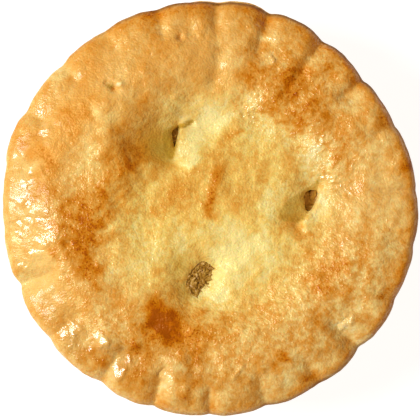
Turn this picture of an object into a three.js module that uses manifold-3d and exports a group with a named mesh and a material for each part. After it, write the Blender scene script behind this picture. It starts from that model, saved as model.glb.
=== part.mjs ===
// A round mince and cheese pie. A short pastry case and its lid are crimped together round the rim
// and baked into one crust. Three steam vents are cut in the sunken middle of the lid, and the mince
// that fills the case shows in them.
// Millimetres, +Z up. The origin is the centre of the flat base, and +Y is the far side of the lid.

import * as THREE from "three";
import { mergeVertices } from "three/addons/utils/BufferGeometryUtils.js";
import Module from "manifold-3d";

const wasm = await Module();
wasm.setup();

// Driving dimensions of the whole pie
const PIE_DIAMETER = 120;
const RING_HEIGHT = 37.5;
const BASE_DIAMETER = 86;
const CRUST_THICKNESS = 3.6;
const FIT_GAP = 0.3;

// Case: sloping wall, rounded foot, and the lip that the lid is pressed on to
const RIM_RADIUS = PIE_DIAMETER / 2;
const BASE_RADIUS = BASE_DIAMETER / 2;
const FOOT_ROUND = 3;
const FOOT_STEPS = 3;
const LIP_HEIGHT = 27.6;
const LIP_WIDTH = 6;
const LIP_THICKNESS = 1.9;
const SEAM_DEPTH = 0.9;
const SEAM_HEIGHT = LIP_HEIGHT + LIP_THICKNESS;
const LIP_INSET = 0.4;
const LIP_ROUND = 0.8;
const WALL_STEPS = 4;

// Lid: a thick edge, a sloping crimped band, a raised ring and a sunken middle
const LID_EDGE_HEIGHT = 30.2;
const LID_EDGE_ROUND = 2;
const LID_SHOULDER = 0.7;
const RIM_TOP = LID_EDGE_HEIGHT + LID_EDGE_ROUND;
const RING_RADIUS = 41;
const MIDDLE_RADIUS = 30;
const MIDDLE_SINK = 2.8;
const PILLOW_RISE = 0.7;
const BAND_STEP = 2.1;
const MIDDLE_STEP = 3.1;

// Crimp: evenly spaced pinches round the rim, each pressed as hard as its place in this list says
const PINCHES = [
  0.3, 0.5, 0.75, 1.0, 0.95, 0.65, 0.6, 0.45, 0.55, 0.55, 0.4,
  0.4, 0.95, 0.55, 0.95, 0.65, 0.85, 0.55, 0.6, 0.95, 0.55, 0.45,
];
const FLUTE_ANGLE = (2 * Math.PI) / PINCHES.length;
const FIRST_PINCH = THREE.MathUtils.degToRad(7);
const PINCH_DEPTH = 2.3;
const PINCH_NOTCH = 1.3;
const PINCH_SHARPNESS = 0.17;
const CREASE_SHARE = 0.6;
const CRIMP_INNER_RADIUS = 40;
const SEGMENTS_PER_FLUTE = 5;

// Rim out of round: a flat stretch and a bulge, and the stretch where the lip of the case shows past
// the lid, each by angle and spread in degrees
const RIM_LOBES = [
  { at: 38, spread: 20, push: -1.6 },
  { at: 160, spread: 8, push: 1.2 },
];
const LIP_LOBES = [{ at: 80, spread: 17, push: 1.1 }];

// Hollows in the lid: the dip beside each vent, and the small docker marks
const HOLLOWS = [
  { x: -14, y: 18.5, radius: 5.5, depth: 1.7 },
  { x: 24.5, y: 0, radius: 5.5, depth: 1.9 },
  { x: -4, y: -19.5, radius: 6, depth: 1.3 },
  { x: -27.5, y: 35, radius: 1.8, depth: 0.8 },
  { x: -8.5, y: 49, radius: 1.8, depth: 0.8 },
];

// Swells in the lid: the flap beside the narrow vent, and where steam lifted the ring and the middle
const SWELLS = [
  { x: -6, y: 16, radius: 5, depth: -0.9 },
  { x: -36, y: -6, radius: 9, depth: -0.8 },
  { x: -13, y: -35, radius: 8, depth: -0.9 },
  { x: 24, y: 30, radius: 9, depth: -0.7 },
  { x: 6, y: -6, radius: 11, depth: -0.7 },
  { x: 36, y: -17, radius: 10, depth: -0.6 },
  { x: -20, y: 36, radius: 11, depth: -0.6 },
];

// Vents: lens-shaped cuts, turned in degrees from +X, with the mince risen part of the way up each one
const VENTS = [
  { x: -10.6, y: 20, long: 9, wide: 2.4, turn: 78, mince: 1, rise: 0.6 },
  { x: 28, y: 2.4, long: 11, wide: 4.2, turn: 52, mince: 8, rise: 0.9 },
  { x: -3.4, y: -20.2, long: 12.5, wide: 6.6, turn: 51, mince: 12, rise: 1.9 },
];
const VENT_TOP = RING_HEIGHT + 6;
const VENT_STEPS = 6;

// Filling: it takes up the whole case, and single grains of mince stand up in the vents
const FILLING_SEGMENTS = 44;
const GRAIN_RADIUS = 1.15;
const GRAIN_SPREAD = 0.45;
const GRAIN_SINK = 0.35;
const GRAIN_SEEDS = 100;
const GOLDEN_ANGLE = Math.PI * (3 - Math.sqrt(5));

// Finishes: egg-washed pastry, and mince in gravy
const PASTRY = { color: 0xdfa04e, roughness: 0.45, metalness: 0 };
const MINCE = { color: 0x7a5a2c, roughness: 0.5, metalness: 0 };

const MERGE_DISTANCE = 1e-4;

const { smoothstep, lerp, degToRad, euclideanModulo, seededRandom } = THREE.MathUtils;

// A closed three.js geometry as a solid
function solidFrom(geometry) {
  const bare = geometry.clone();
  bare.deleteAttribute("normal");
  bare.deleteAttribute("uv");
  const merged = mergeVertices(bare, MERGE_DISTANCE);
  const vertProperties = new Float32Array(merged.attributes.position.array);
  const triVerts = new Uint32Array(merged.index.array);
  return new wasm.Manifold(new wasm.Mesh({ numProp: 3, vertProperties, triVerts }));
}

// A solid as a three.js mesh with its own material
function meshFrom(solid, name, finish) {
  const { vertProperties, triVerts } = solid.getMesh();
  const geometry = new THREE.BufferGeometry();
  geometry.setAttribute("position", new THREE.BufferAttribute(vertProperties, 3));
  geometry.setIndex(new THREE.BufferAttribute(triVerts, 1));
  geometry.computeVertexNormals();
  const mesh = new THREE.Mesh(geometry, new THREE.MeshStandardMaterial(finish));
  mesh.name = name;
  return mesh;
}

// How hard the crimp presses at an angle: a sharp crease in a broad valley, and 0 on a flute's crown
function pinchAt(angle) {
  const flutes = (angle - FIRST_PINCH) / FLUTE_ANGLE;
  const nearest = Math.round(flutes);
  const offset = flutes - nearest;
  const crease = Math.exp(-((offset / PINCH_SHARPNESS) ** 2));
  const valley = Math.cos(Math.PI * offset) ** 2;
  const strength = PINCHES[euclideanModulo(nearest, PINCHES.length)];
  return strength * (CREASE_SHARE * crease + (1 - CREASE_SHARE) * valley);
}

// How far a list of lobes stands out at an angle
function lobesAt(lobes, angle) {
  let push = 0;
  for (const lobe of lobes) {
    const away = euclideanModulo(angle - degToRad(lobe.at) + Math.PI, 2 * Math.PI) - Math.PI;
    push += lobe.push * Math.exp(-((away / degToRad(lobe.spread)) ** 2));
  }
  return push;
}

// The lid's height by radius alone: up from the rim to the ring, then down into the sunken middle
function lidHeight(radius) {
  const rise = 1 - smoothstep(radius, RING_RADIUS, RIM_RADIUS);
  const sink = 1 - smoothstep(radius, MIDDLE_RADIUS, RING_RADIUS);
  const pillow = Math.max(0, 1 - (radius / MIDDLE_RADIUS) ** 2);
  return RIM_TOP + (RING_HEIGHT - RIM_TOP) * rise - MIDDLE_SINK * sink + PILLOW_RISE * pillow;
}

// How far the crimp and the hollows, less the swells, press the lid down at a place
function lidPressed(x, y) {
  const radius = Math.hypot(x, y);
  const inBand = smoothstep(radius, CRIMP_INNER_RADIUS, RIM_RADIUS - LIP_WIDTH);
  let pressed = PINCH_DEPTH * inBand * pinchAt(Math.atan2(y, x));
  for (const dent of [...HOLLOWS, ...SWELLS]) {
    const away = Math.hypot(x - dent.x, y - dent.y) / dent.radius;
    pressed += dent.depth * Math.exp(-(away ** 2));
  }
  return pressed;
}

// The half outline of the case, from the middle of the base out to the seam under the lid
function caseOutline() {
  const wallTop = RIM_RADIUS - LIP_WIDTH;
  const lipEdge = RIM_RADIUS - LIP_INSET;
  const outline = [new THREE.Vector2(0, 0)];
  for (let step = 0; step < FOOT_STEPS; step++) {
    const turn = ((Math.PI / 2) * step) / FOOT_STEPS;
    const radius = BASE_RADIUS - FOOT_ROUND * (1 - Math.sin(turn));
    outline.push(new THREE.Vector2(radius, FOOT_ROUND * (1 - Math.cos(turn))));
  }
  for (let step = 0; step <= WALL_STEPS; step++) {
    const up = step / WALL_STEPS;
    outline.push(new THREE.Vector2(lerp(BASE_RADIUS, wallTop, up), lerp(FOOT_ROUND, LIP_HEIGHT, up)));
  }
  outline.push(new THREE.Vector2(lipEdge - LIP_ROUND, LIP_HEIGHT));
  outline.push(new THREE.Vector2(lipEdge, LIP_HEIGHT + LIP_ROUND));
  outline.push(new THREE.Vector2(RIM_RADIUS - SEAM_DEPTH, SEAM_HEIGHT));
  return outline;
}

// The half outline of the lid, from its edge in to the middle
function lidOutline() {
  const outline = [
    new THREE.Vector2(RIM_RADIUS, LID_EDGE_HEIGHT),
    new THREE.Vector2(
      RIM_RADIUS - LID_EDGE_ROUND * (1 - LID_SHOULDER),
      LID_EDGE_HEIGHT + LID_EDGE_ROUND * LID_SHOULDER,
    ),
  ];
  for (let radius = RIM_RADIUS - LID_EDGE_ROUND; radius > RING_RADIUS; radius -= BAND_STEP) {
    outline.push(new THREE.Vector2(radius, lidHeight(radius)));
  }
  for (let radius = RING_RADIUS - 1; radius > MIDDLE_STEP / 2; radius -= MIDDLE_STEP) {
    outline.push(new THREE.Vector2(radius, lidHeight(radius)));
  }
  outline.push(new THREE.Vector2(0, lidHeight(0)));
  return outline;
}

// The outside of the crust: its outline spun round, then crimped, dented and pushed out of round.
// The lid's edge is squeezed towards the seam, and never through it.
function crustOutside() {
  const below = caseOutline();
  const outline = [...below, ...lidOutline()];
  const segments = PINCHES.length * SEGMENTS_PER_FLUTE;
  const firstTurn = FIRST_PINCH + Math.PI / 2;
  const geometry = new THREE.LatheGeometry(outline, segments, firstTurn).rotateX(Math.PI / 2);
  const places = geometry.attributes.position;
  const place = new THREE.Vector3();
  for (let i = 0; i < places.count; i++) {
    place.fromBufferAttribute(places, i);
    const radius = Math.hypot(place.x, place.y);
    const angle = Math.atan2(place.y, place.x);
    const onLid = i % outline.length >= below.length;
    const roundUpTo = onLid ? RING_RADIUS : RIM_RADIUS - LIP_WIDTH;
    const atRim = smoothstep(radius, roundUpTo, RIM_RADIUS - LIP_WIDTH / 2);
    const lobes = onLid ? RIM_LOBES : [...RIM_LOBES, ...LIP_LOBES];
    const pushed = radius + (lobesAt(lobes, angle) - PINCH_NOTCH * pinchAt(angle)) * atRim;
    const squeeze = onLid ? Math.min(1, (place.z - SEAM_HEIGHT) / (RIM_TOP - SEAM_HEIGHT)) : 0;
    const height = place.z - squeeze * lidPressed(place.x, place.y);
    places.setXYZ(i, pushed * Math.cos(angle), pushed * Math.sin(angle), height);
  }
  return solidFrom(geometry);
}

// What fills the case, drawn in from the inside of the crust by a gap
function fillingCore(gap) {
  const floor = CRUST_THICKNESS + gap;
  const inset = CRUST_THICKNESS + gap;
  const ceiling = (radius) => lidHeight(radius) - CRUST_THICKNESS - gap;
  const wallTop = RIM_RADIUS - LIP_WIDTH - inset;
  const outline = [
    new THREE.Vector2(0, floor),
    new THREE.Vector2(BASE_RADIUS - inset - FOOT_ROUND / 2, floor),
    new THREE.Vector2(BASE_RADIUS - inset, floor + FOOT_ROUND),
    new THREE.Vector2(wallTop, LIP_HEIGHT - CRUST_THICKNESS / 2 - gap),
  ];
  for (let radius = wallTop - 1; radius > MIDDLE_STEP; radius -= 2 * MIDDLE_STEP) {
    outline.push(new THREE.Vector2(radius, ceiling(radius)));
  }
  outline.push(new THREE.Vector2(0, ceiling(0)));
  return solidFrom(new THREE.LatheGeometry(outline, FILLING_SEGMENTS).rotateX(Math.PI / 2));
}

// A vent's lens-shaped prism between two heights, drawn in by a gap
function ventPrism(vent, gap, bottom, top) {
  const half = vent.long / 2 - gap;
  const bow = vent.wide - 2 * gap;
  const lens = new THREE.Shape();
  lens.moveTo(-half, 0);
  lens.quadraticCurveTo(0, -bow, half, 0);
  lens.quadraticCurveTo(0, bow, -half, 0);
  const options = { depth: top - bottom, bevelEnabled: false, curveSegments: VENT_STEPS };
  const prism = new THREE.ExtrudeGeometry(lens, options);
  return solidFrom(prism.rotateZ(degToRad(vent.turn)).translate(vent.x, vent.y, bottom));
}

// The mince that has risen into one vent: a low mound with grains standing on it, clear of the pastry.
// The grains are spread over the vent at the golden angle.
function ventMince(vent, seed) {
  const under = lidHeight(Math.hypot(vent.x, vent.y)) - CRUST_THICKNESS - FIT_GAP;
  const top = under + vent.rise;
  let heap = ventPrism(vent, FIT_GAP, under - CRUST_THICKNESS, top);
  const turn = degToRad(vent.turn);
  for (let grain = 0; grain < vent.mince; grain++) {
    const out = Math.sqrt((grain + 0.5) / vent.mince) / 2;
    const along = out * vent.long * Math.cos(grain * GOLDEN_ANGLE);
    const across = out * vent.wide * Math.sin(grain * GOLDEN_ANGLE);
    const size = GRAIN_RADIUS * (1 + GRAIN_SPREAD * (seededRandom(seed + grain) - 0.5));
    const shape = new THREE.IcosahedronGeometry(size, 1).translate(
      vent.x + along * Math.cos(turn) - across * Math.sin(turn),
      vent.y + along * Math.sin(turn) + across * Math.cos(turn),
      top - size * GRAIN_SINK,
    );
    heap = heap.add(solidFrom(shape));
  }
  return heap.intersect(ventPrism(vent, FIT_GAP, under - CRUST_THICKNESS, VENT_TOP));
}

let crust = crustOutside().subtract(fillingCore(0));
let filling = fillingCore(FIT_GAP);
for (const [index, vent] of VENTS.entries()) {
  const middle = LIP_HEIGHT - CRUST_THICKNESS;
  crust = crust.subtract(ventPrism(vent, 0, middle, VENT_TOP));
  filling = filling.add(ventMince(vent, GRAIN_SEEDS * (index + 1)));
}

const pie = new THREE.Group();
pie.name = "pie";
pie.add(meshFrom(crust, "crust", PASTRY));
pie.add(meshFrom(filling, "mince_filling", MINCE));

export default pie;
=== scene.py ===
import math

import bpy
import numpy as np
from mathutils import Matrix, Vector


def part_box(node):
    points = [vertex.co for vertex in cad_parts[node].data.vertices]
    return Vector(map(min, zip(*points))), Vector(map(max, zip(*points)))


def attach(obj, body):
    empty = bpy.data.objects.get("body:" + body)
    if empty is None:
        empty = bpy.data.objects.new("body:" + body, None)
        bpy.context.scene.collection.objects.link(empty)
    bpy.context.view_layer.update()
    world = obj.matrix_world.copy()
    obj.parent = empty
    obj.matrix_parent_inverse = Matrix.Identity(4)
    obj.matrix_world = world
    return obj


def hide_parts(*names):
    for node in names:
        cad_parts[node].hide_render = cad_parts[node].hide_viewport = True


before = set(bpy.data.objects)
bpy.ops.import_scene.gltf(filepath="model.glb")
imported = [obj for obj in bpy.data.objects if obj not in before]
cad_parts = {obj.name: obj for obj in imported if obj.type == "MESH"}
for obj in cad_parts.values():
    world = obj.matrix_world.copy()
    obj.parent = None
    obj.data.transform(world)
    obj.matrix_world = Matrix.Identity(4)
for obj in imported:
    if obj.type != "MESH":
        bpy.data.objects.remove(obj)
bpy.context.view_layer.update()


# Pastry case: the lower half of the crust, a sheet of shortcrust pressed into a round tin and baked.
# It has a flat base, a rounded foot, a sloping wall and a flat lip that the lid is pinched on to.
# Sizes are in millimetres and angles in degrees from +X.
MM = 0.001
crust_low, crust_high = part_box("crust")
RIM_RADIUS = round((crust_high.x - crust_low.x) / MM) / 2
BASE_RADIUS = 43
BASE_FLATNESS = 0.03
FOOT_ROUND = 3
FOOT_ROWS = 5
LIP_WIDTH = 6
LIP_HEIGHT = 27.6
WALL_TOP_RADIUS = RIM_RADIUS - LIP_WIDTH
SEAM_HEIGHT = 29.5
SEAM_INSET = 0.9
SEAM_RADIUS = RIM_RADIUS - SEAM_INSET
SEAM_DIP = 0.2
CRUST_THICKNESS = 3.6
# The round corner between the wall and the lip, and the lip's round edge: steps out from the top of the
# wall or from the rim, and up from the underside of the lip
CORNER_START = (-0.3, -0.9)
CORNER_END = (0.6, 0)
LIP_ROUND = [(-1.2, 0), (-0.7, 0.15), (-0.45, 0.5), (-0.4, 1), (-0.55, 1.5)]

# Each pinch of the crimp: its angle, how hard it was pressed, the radius that its valley runs in to, and
# the valley's width in degrees
PINCHES = [
    (5, 0.2, 47, 1.5), (24, 0.4, 50, 2.5), (40, 0.65, 47, 3), (56, 0.75, 40, 3), (73, 0.9, 42, 3.4),
    (88, 0.55, 45, 3.2), (105, 0.5, 49, 3), (121, 0.3, 51, 3), (136, 0.4, 51, 3), (152, 0.4, 52, 3),
    (168, 0.3, 52, 2.5), (185, 0.25, 50, 2.5), (202, 0.8, 46, 3), (219, 0.55, 46, 2.8), (238, 0.9, 43, 3.5),
    (254, 0.75, 44, 2.7), (270, 0.45, 51, 2), (286, 0.55, 46, 3.2), (302, 0.45, 47, 3),
    (317, 0.95, 44, 3.2), (334, 0.4, 50, 3), (350, 0.35, 50, 3),
]
PINCH_NOTCH = 1.3
CREASE_SHARE = 0.18
CREASE_SHARPNESS = 3

# Where the rim is out of round, and where the lip shows past the lid: angle, spread and push
RIM_LOBES = [(38, 20, -1.6), (160, 8, 1.2)]
LIP_LOBES = [(80, 17, 1.1)]


def smoothstep(low, high, value):
    share = np.clip((value - low) / (high - low), 0, 1)
    return share * share * (3 - 2 * share)


def turn_between(angle, other):
    """Degrees from one angle to another, the short way round."""
    return (angle - other + 180) % 360 - 180


def pinch_profile(away, width):
    """A broad valley with a crease along its floor, by degrees away from the middle of a pinch."""
    crease = np.exp(-((CREASE_SHARPNESS * away / width) ** 2))
    valley = np.exp(-((away / width) ** 2))
    return CREASE_SHARE * crease + (1 - CREASE_SHARE) * valley


def rim_push(angle, lobes):
    """How far the rim stands out at an angle: its lobes, less the notches of the crimp."""
    push = np.zeros_like(angle)
    for at, spread, out in lobes:
        push += out * np.exp(-((turn_between(angle, at) / spread) ** 2))
    for at, strength, _, width in PINCHES:
        push -= PINCH_NOTCH * strength * pinch_profile(turn_between(angle, at), width)
    return push


def places_of(piece):
    """The piece's vertices in millimetres."""
    flat = np.empty(3 * len(piece.data.vertices))
    piece.data.vertices.foreach_get("co", flat)
    return flat.reshape(-1, 3) / MM


def move_to(piece, places):
    """Puts the piece's vertices at places in millimetres."""
    piece.data.vertices.foreach_set("co", (places * MM).ravel())
    piece.data.update()


def push_rim(places, round_up_to, lobes):
    """Moves the outer part of a round piece in and out to the crimped outline."""
    radius = np.hypot(places[:, 0], places[:, 1])
    angle = np.degrees(np.arctan2(places[:, 1], places[:, 0]))
    at_rim = smoothstep(round_up_to, RIM_RADIUS - LIP_WIDTH / 2, radius)
    factor = 1 + rim_push(angle, lobes) * at_rim / np.maximum(radius, 1)
    places[:, :2] *= factor[:, None]


def rolled_disc(name, radius, height, cuts):
    """A flat round disc of even triangles: a hexagon, cut up and pushed out to a circle. Ends in edit mode
    with its round edge selected."""
    sides = 6
    half_side = 180 / sides
    bpy.ops.object.select_all(action="DESELECT")
    bpy.ops.mesh.primitive_circle_add(
        vertices=sides, radius=radius * MM, fill_type="TRIFAN", location=(0, 0, height * MM)
    )
    piece = bpy.context.object
    piece.name = piece.data.name = name
    bpy.ops.object.transform_apply(location=True, rotation=True, scale=True)
    bpy.ops.object.mode_set(mode="EDIT")
    bpy.ops.mesh.select_all(action="SELECT")
    for cut in cuts:
        bpy.ops.mesh.subdivide(number_cuts=cut)
    bpy.ops.object.mode_set(mode="OBJECT")
    places = places_of(piece)
    angle = np.degrees(np.arctan2(places[:, 1], places[:, 0]))
    side = (angle + half_side) % (2 * half_side) - half_side
    places[:, :2] *= (np.cos(np.radians(side)) / math.cos(math.radians(half_side)))[:, None]
    move_to(piece, places)
    bpy.ops.object.mode_set(mode="EDIT")
    bpy.ops.mesh.select_mode(type="EDGE")
    bpy.ops.mesh.select_all(action="SELECT")
    bpy.ops.mesh.region_to_loop()
    return piece


def draw_rows(start, rows):
    """Extrudes the selected round edge through rows of radius and height, and returns the last of them."""
    radius, height = start
    for next_radius, next_height in rows:
        lift = (0, 0, (next_height - height) * MM)
        bpy.ops.mesh.extrude_edges_move(TRANSFORM_OT_translate={"value": lift})
        factor = next_radius / radius
        bpy.ops.transform.resize(value=(factor, factor, 1), center_override=(0, 0, 0))
        radius, height = next_radius, next_height
    return radius, height


def steps(first, last, count):
    """Rows of radius and height in equal steps after the first one, up to the last."""
    return list(np.linspace(first, last, count + 1)[1:])


def close_edge():
    """Draws the selected round edge together to a point and leaves edit mode, faces outwards."""
    bpy.ops.mesh.extrude_edges_move()
    bpy.ops.mesh.merge(type="CENTER")
    bpy.ops.mesh.select_all(action="SELECT")
    bpy.ops.mesh.normals_make_consistent(inside=False)
    bpy.ops.object.mode_set(mode="OBJECT")


def knead(piece, name, size, depth, detail):
    """Pushes a piece's surface in and out by a cloudy pattern of a real size and depth."""
    clouds = bpy.data.textures.new(name, "CLOUDS")
    clouds.noise_scale = size * MM
    clouds.noise_depth = detail
    modifier = piece.modifiers.new(name, "DISPLACE")
    modifier.texture = clouds
    modifier.texture_coords = "LOCAL"
    modifier.strength = depth * MM
    modifier.mid_level = 0.5
    bpy.context.view_layer.objects.active = piece
    bpy.ops.object.modifier_apply(modifier=name)


base_edge = (BASE_RADIUS - FOOT_ROUND, 0)
foot_turns = [math.pi / 2 * i / FOOT_ROWS for i in range(1, FOOT_ROWS + 1)]
foot = [
    (BASE_RADIUS - FOOT_ROUND * (1 - math.sin(turn)), FOOT_ROUND * (1 - math.cos(turn)))
    for turn in foot_turns
]
corner_start, corner_end = (
    (WALL_TOP_RADIUS + out, LIP_HEIGHT + up) for out, up in (CORNER_START, CORNER_END)
)
lip_edge = [(RIM_RADIUS + out, LIP_HEIGHT + up) for out, up in LIP_ROUND] + [(SEAM_RADIUS, SEAM_HEIGHT)]
case = rolled_disc("pie_case", base_edge[0], height=0, cuts=(9, 8))
last_row = draw_rows(base_edge, foot + steps(foot[-1], corner_start, count=36) + [corner_end])
last_row = draw_rows(last_row, steps(corner_end, lip_edge[0], count=5) + lip_edge[1:])
bpy.ops.object.mode_set(mode="OBJECT")
case_places = places_of(case)
push_rim(case_places, WALL_TOP_RADIUS, RIM_LOBES + LIP_LOBES)
move_to(case, case_places)
bpy.ops.object.mode_set(mode="EDIT")
inside_top = WALL_TOP_RADIUS - CRUST_THICKNESS
inside_foot = BASE_RADIUS - CRUST_THICKNESS
last_row = draw_rows(last_row, steps(last_row, (inside_top, SEAM_HEIGHT - SEAM_DIP), count=3))
last_row = draw_rows(last_row, [(inside_top, LIP_HEIGHT - CRUST_THICKNESS / 2)])
last_row = draw_rows(last_row, steps(last_row, (inside_foot, CRUST_THICKNESS + FOOT_ROUND), count=4))
draw_rows(last_row, [(inside_foot - FOOT_ROUND / 2, CRUST_THICKNESS), (inside_foot / 2, CRUST_THICKNESS)])
close_edge()
on_base = places_of(case)[:, 2] < BASE_FLATNESS
knead(case, "case_waves", size=14, depth=0.9, detail=1)
knead(case, "case_grain", size=2.2, depth=0.22, detail=2)
case_places = places_of(case)
case_places[on_base, 2] = 0
case_places[:, 2] = np.maximum(case_places[:, 2], 0)
move_to(case, case_places)


def linear(colour):
    """An sRGB hex colour as linear red, green, blue and alpha."""
    channels = [int(colour[i : i + 2], 16) / 255 for i in (1, 3, 5)]
    return [c / 12.92 if c <= 0.04045 else ((c + 0.055) / 1.055) ** 2.4 for c in channels] + [1]


def set_sockets(node, sockets):
    """Sets a node's input sockets, or links them where they get another node's output."""
    for socket, value in sockets.items():
        if isinstance(value, bpy.types.NodeSocket):
            node.id_data.links.new(value, node.inputs[socket])
        else:
            node.inputs[socket].default_value = value


def add_node(tree, kind, output, sockets=None, **fields):
    """Adds a node with its fields and input sockets, and gives back one of its outputs."""
    node = tree.nodes.new("ShaderNode" + kind)
    for field, value in fields.items():
        setattr(node, field, value)
    set_sockets(node, sockets or {})
    return node.outputs[output]


def set_stops(ramp, stops):
    """Gives a colour ramp its stops, each a place and a colour."""
    for place, _ in stops[1:-1]:
        ramp.elements.new(place)
    for element, (place, colour) in zip(ramp.elements, stops):
        element.position = place
        element.color = linear(colour)


def new_material(name):
    """A new material, its node tree and its shader."""
    material = bpy.data.materials.new(name)
    material.use_nodes = True
    return material, material.node_tree, material.node_tree.nodes["Principled BSDF"]


# Baked shortcrust pastry, brushed with egg: a soft, slightly see-through crumb that goes from cream
# through gold to red-brown as it toasts, finely mottled, with a gloss where the egg lay thick.
TOAST_COLOURS = [
    (0.00, "#FCECB4"), (0.20, "#F6D484"), (0.40, "#E7AF58"), (0.55, "#DE9736"), (0.70, "#D17F0A"),
    (0.85, "#C06600"), (1.00, "#A85200"),
]
BUTTER_TINT = "#FFFDDC"
# The damp olive is also painted shade in the dips and creases round the vents, and the scorch brown is also
# painted shade where the lid is made to look darker
DAMP_AND_SHADE_COLOUR = "#BC9632"
SHADE_AND_SCORCH_COLOUR = "#5E3812"
SHEEN_TINT = "#FFD084"
MOTTLE_SIZE = 7
BLOTCH_SIZE = 3.2
FRECKLE_SIZE = 1.5
CRUMB_SIZE = 0.6
ROLLING_ANGLE = 72
ROLLING_STRETCH = 1.4
EVEN_LIMIT = 0.8
# Dark specks in the crumb: between which toastings they come up, how dark, and where the crumb turns to
# speck
CARAMEL_TOAST = (0.45, 0.8)
CARAMEL_DEPTH = 0.3
SPECK_EDGE = (0.57, 0.66)
SHADE_AND_SCORCH_DULLING = 0.5
RIPPLE_SIZE = 0.9
RIPPLE_STRETCH = 3.5
RIPPLE_SHARE = 0.42
CRUMB_SHARE = 0.8
GLAZE_RELIEF = 0.3
CRUMB_RELIEF = 0.25
SEE_THROUGH_DEPTH = 0.8
pastry, tree, shader = new_material("egg_washed_shortcrust_pastry")
coords = add_node(tree, "TexCoord", "Object")
toast, glaze, butter, damp_and_shade, shade_and_scorch, speckle = (
    add_node(tree, "Attribute", "Fac", attribute_name=name)
    for name in ("toast", "glaze", "butter", "damp_and_shade", "shade_and_scorch", "speckle")
)
rolled = add_node(
    tree, "Mapping", "Vector",
    {"Vector": coords, "Rotation": (0, 0, math.radians(ROLLING_ANGLE)), "Scale": (ROLLING_STRETCH, 1, 1)},
    vector_type="TEXTURE",
)
even_speckle = add_node(tree, "Math", 0, {0: speckle, 1: EVEN_LIMIT}, operation="MINIMUM")
# The mottling, coarse to fine: size, coordinates, detail, where the pattern is palest and darkest, how far
# that changes the toasting, and what it follows
grains = {}
toasted = toast
for size, vector, detail, pale, dark, change, share in (
    (MOTTLE_SIZE, rolled, 2, 0.3, 0.7, 0.1, even_speckle),
    (BLOTCH_SIZE, rolled, 2, 0.36, 0.64, 0.08, even_speckle),
    (FRECKLE_SIZE, coords, 2, 0.37, 0.65, 0.09, speckle),
    (CRUMB_SIZE, coords, 1, 0.3, 0.7, 0.03, speckle),
):
    grains[size] = add_node(
        tree, "TexNoise", "Fac",
        {"Vector": vector, "Scale": 1 / (size * MM), "Detail": detail, "Roughness": 0.5},
    )
    spots = add_node(
        tree, "MapRange", "Result",
        {"Value": grains[size], "From Min": pale, "From Max": dark, "To Min": -change, "To Max": change},
        interpolation_type="SMOOTHSTEP",
    )
    toasted = add_node(tree, "Math", 0, {0: spots, 1: share, 2: toasted}, operation="MULTIPLY_ADD")
caramel = add_node(
    tree, "MapRange", "Result",
    {"Value": toast, "From Min": CARAMEL_TOAST[0], "From Max": CARAMEL_TOAST[1], "To Max": CARAMEL_DEPTH},
)
specks = add_node(
    tree, "MapRange", "Result",
    {"Value": grains[CRUMB_SIZE], "From Min": SPECK_EDGE[0], "From Max": SPECK_EDGE[1]},
    interpolation_type="SMOOTHSTEP",
)
toasted = add_node(tree, "Math", 0, {0: specks, 1: caramel, 2: toasted}, operation="MULTIPLY_ADD")
crust_colour = add_node(tree, "ValToRGB", "Color", {"Fac": toasted})
set_stops(crust_colour.node.color_ramp, TOAST_COLOURS)
# The butter tint, then the damp olive and the scorch brown, which lay painted shade on the lid as well as
# their own colours
for blend, share, tint in (
    ("MULTIPLY", butter, BUTTER_TINT), ("MIX", damp_and_shade, DAMP_AND_SHADE_COLOUR), ("MIX", shade_and_scorch, SHADE_AND_SCORCH_COLOUR),
):
    layers = {"Factor": share, 6: crust_colour, 7: linear(tint)}
    crust_colour = add_node(tree, "Mix", 2, layers, data_type="RGBA", blend_type=blend)
roughness = add_node(
    tree, "MapRange", "Result",
    {"Value": grains[FRECKLE_SIZE], "From Min": 0.3, "From Max": 0.7, "To Min": 0.25, "To Max": 0.5},
)
dulled = add_node(tree, "Math", 0, {0: shade_and_scorch, 1: SHADE_AND_SCORCH_DULLING, 2: roughness}, operation="MULTIPLY_ADD")
bubbles = add_node(
    tree, "Math", 0, {0: grains[CRUMB_SIZE], 1: CRUMB_SHARE, 2: grains[FRECKLE_SIZE]},
    operation="MULTIPLY_ADD",
)
bump = add_node(tree, "Bump", "Normal", {"Height": bubbles, "Strength": 1, "Distance": CRUMB_RELIEF * MM})
# The coat of egg, with brush ripples where it is thick
brushed = add_node(
    tree, "Mapping", "Vector", {"Vector": coords, "Scale": (RIPPLE_STRETCH, 1, 1)}, vector_type="TEXTURE"
)
ripples = add_node(
    tree, "TexNoise", "Fac",
    {"Vector": brushed, "Scale": 1 / (RIPPLE_SIZE * MM), "Detail": 2, "Roughness": 0.5},
)
thickness = add_node(tree, "Math", 0, {0: glaze, 1: RIPPLE_SHARE}, operation="MULTIPLY")
thick_ripples = add_node(tree, "Math", 0, {0: ripples, 1: thickness}, operation="MULTIPLY")
rough_glaze = add_node(tree, "Math", 0, {0: bubbles, 1: speckle, 2: thick_ripples}, operation="MULTIPLY_ADD")
crackle = add_node(
    tree, "Bump", "Normal", {"Height": rough_glaze, "Strength": 1, "Distance": GLAZE_RELIEF * MM}
)
set_sockets(shader, {
    "Base Color": crust_colour, "Roughness": dulled, "Normal": bump, "IOR": 1.45,
    "Specular IOR Level": 0.5, "Specular Tint": linear(SHEEN_TINT),
    "Subsurface Weight": 0.2, "Subsurface Radius": (1, 0.5, 0.2), "Subsurface Scale": SEE_THROUGH_DEPTH * MM,
    "Coat Weight": glaze, "Coat Roughness": 0.16, "Coat Normal": crackle,
})


def paint(piece, name, values):
    """Writes one number for each vertex for the material to read."""
    layer = piece.data.attributes.new(name, "FLOAT", "POINT")
    layer.data.foreach_set("value", np.asarray(values, np.float32))


def spread_of(spots, x, y):
    """The sum of round soft-edged spots at places on a sheet."""
    total = np.zeros_like(x)
    for spot_x, spot_y, radius, amount in spots:
        total += amount * np.exp(-((x - spot_x) ** 2 + (y - spot_y) ** 2) / radius**2)
    return total


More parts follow.
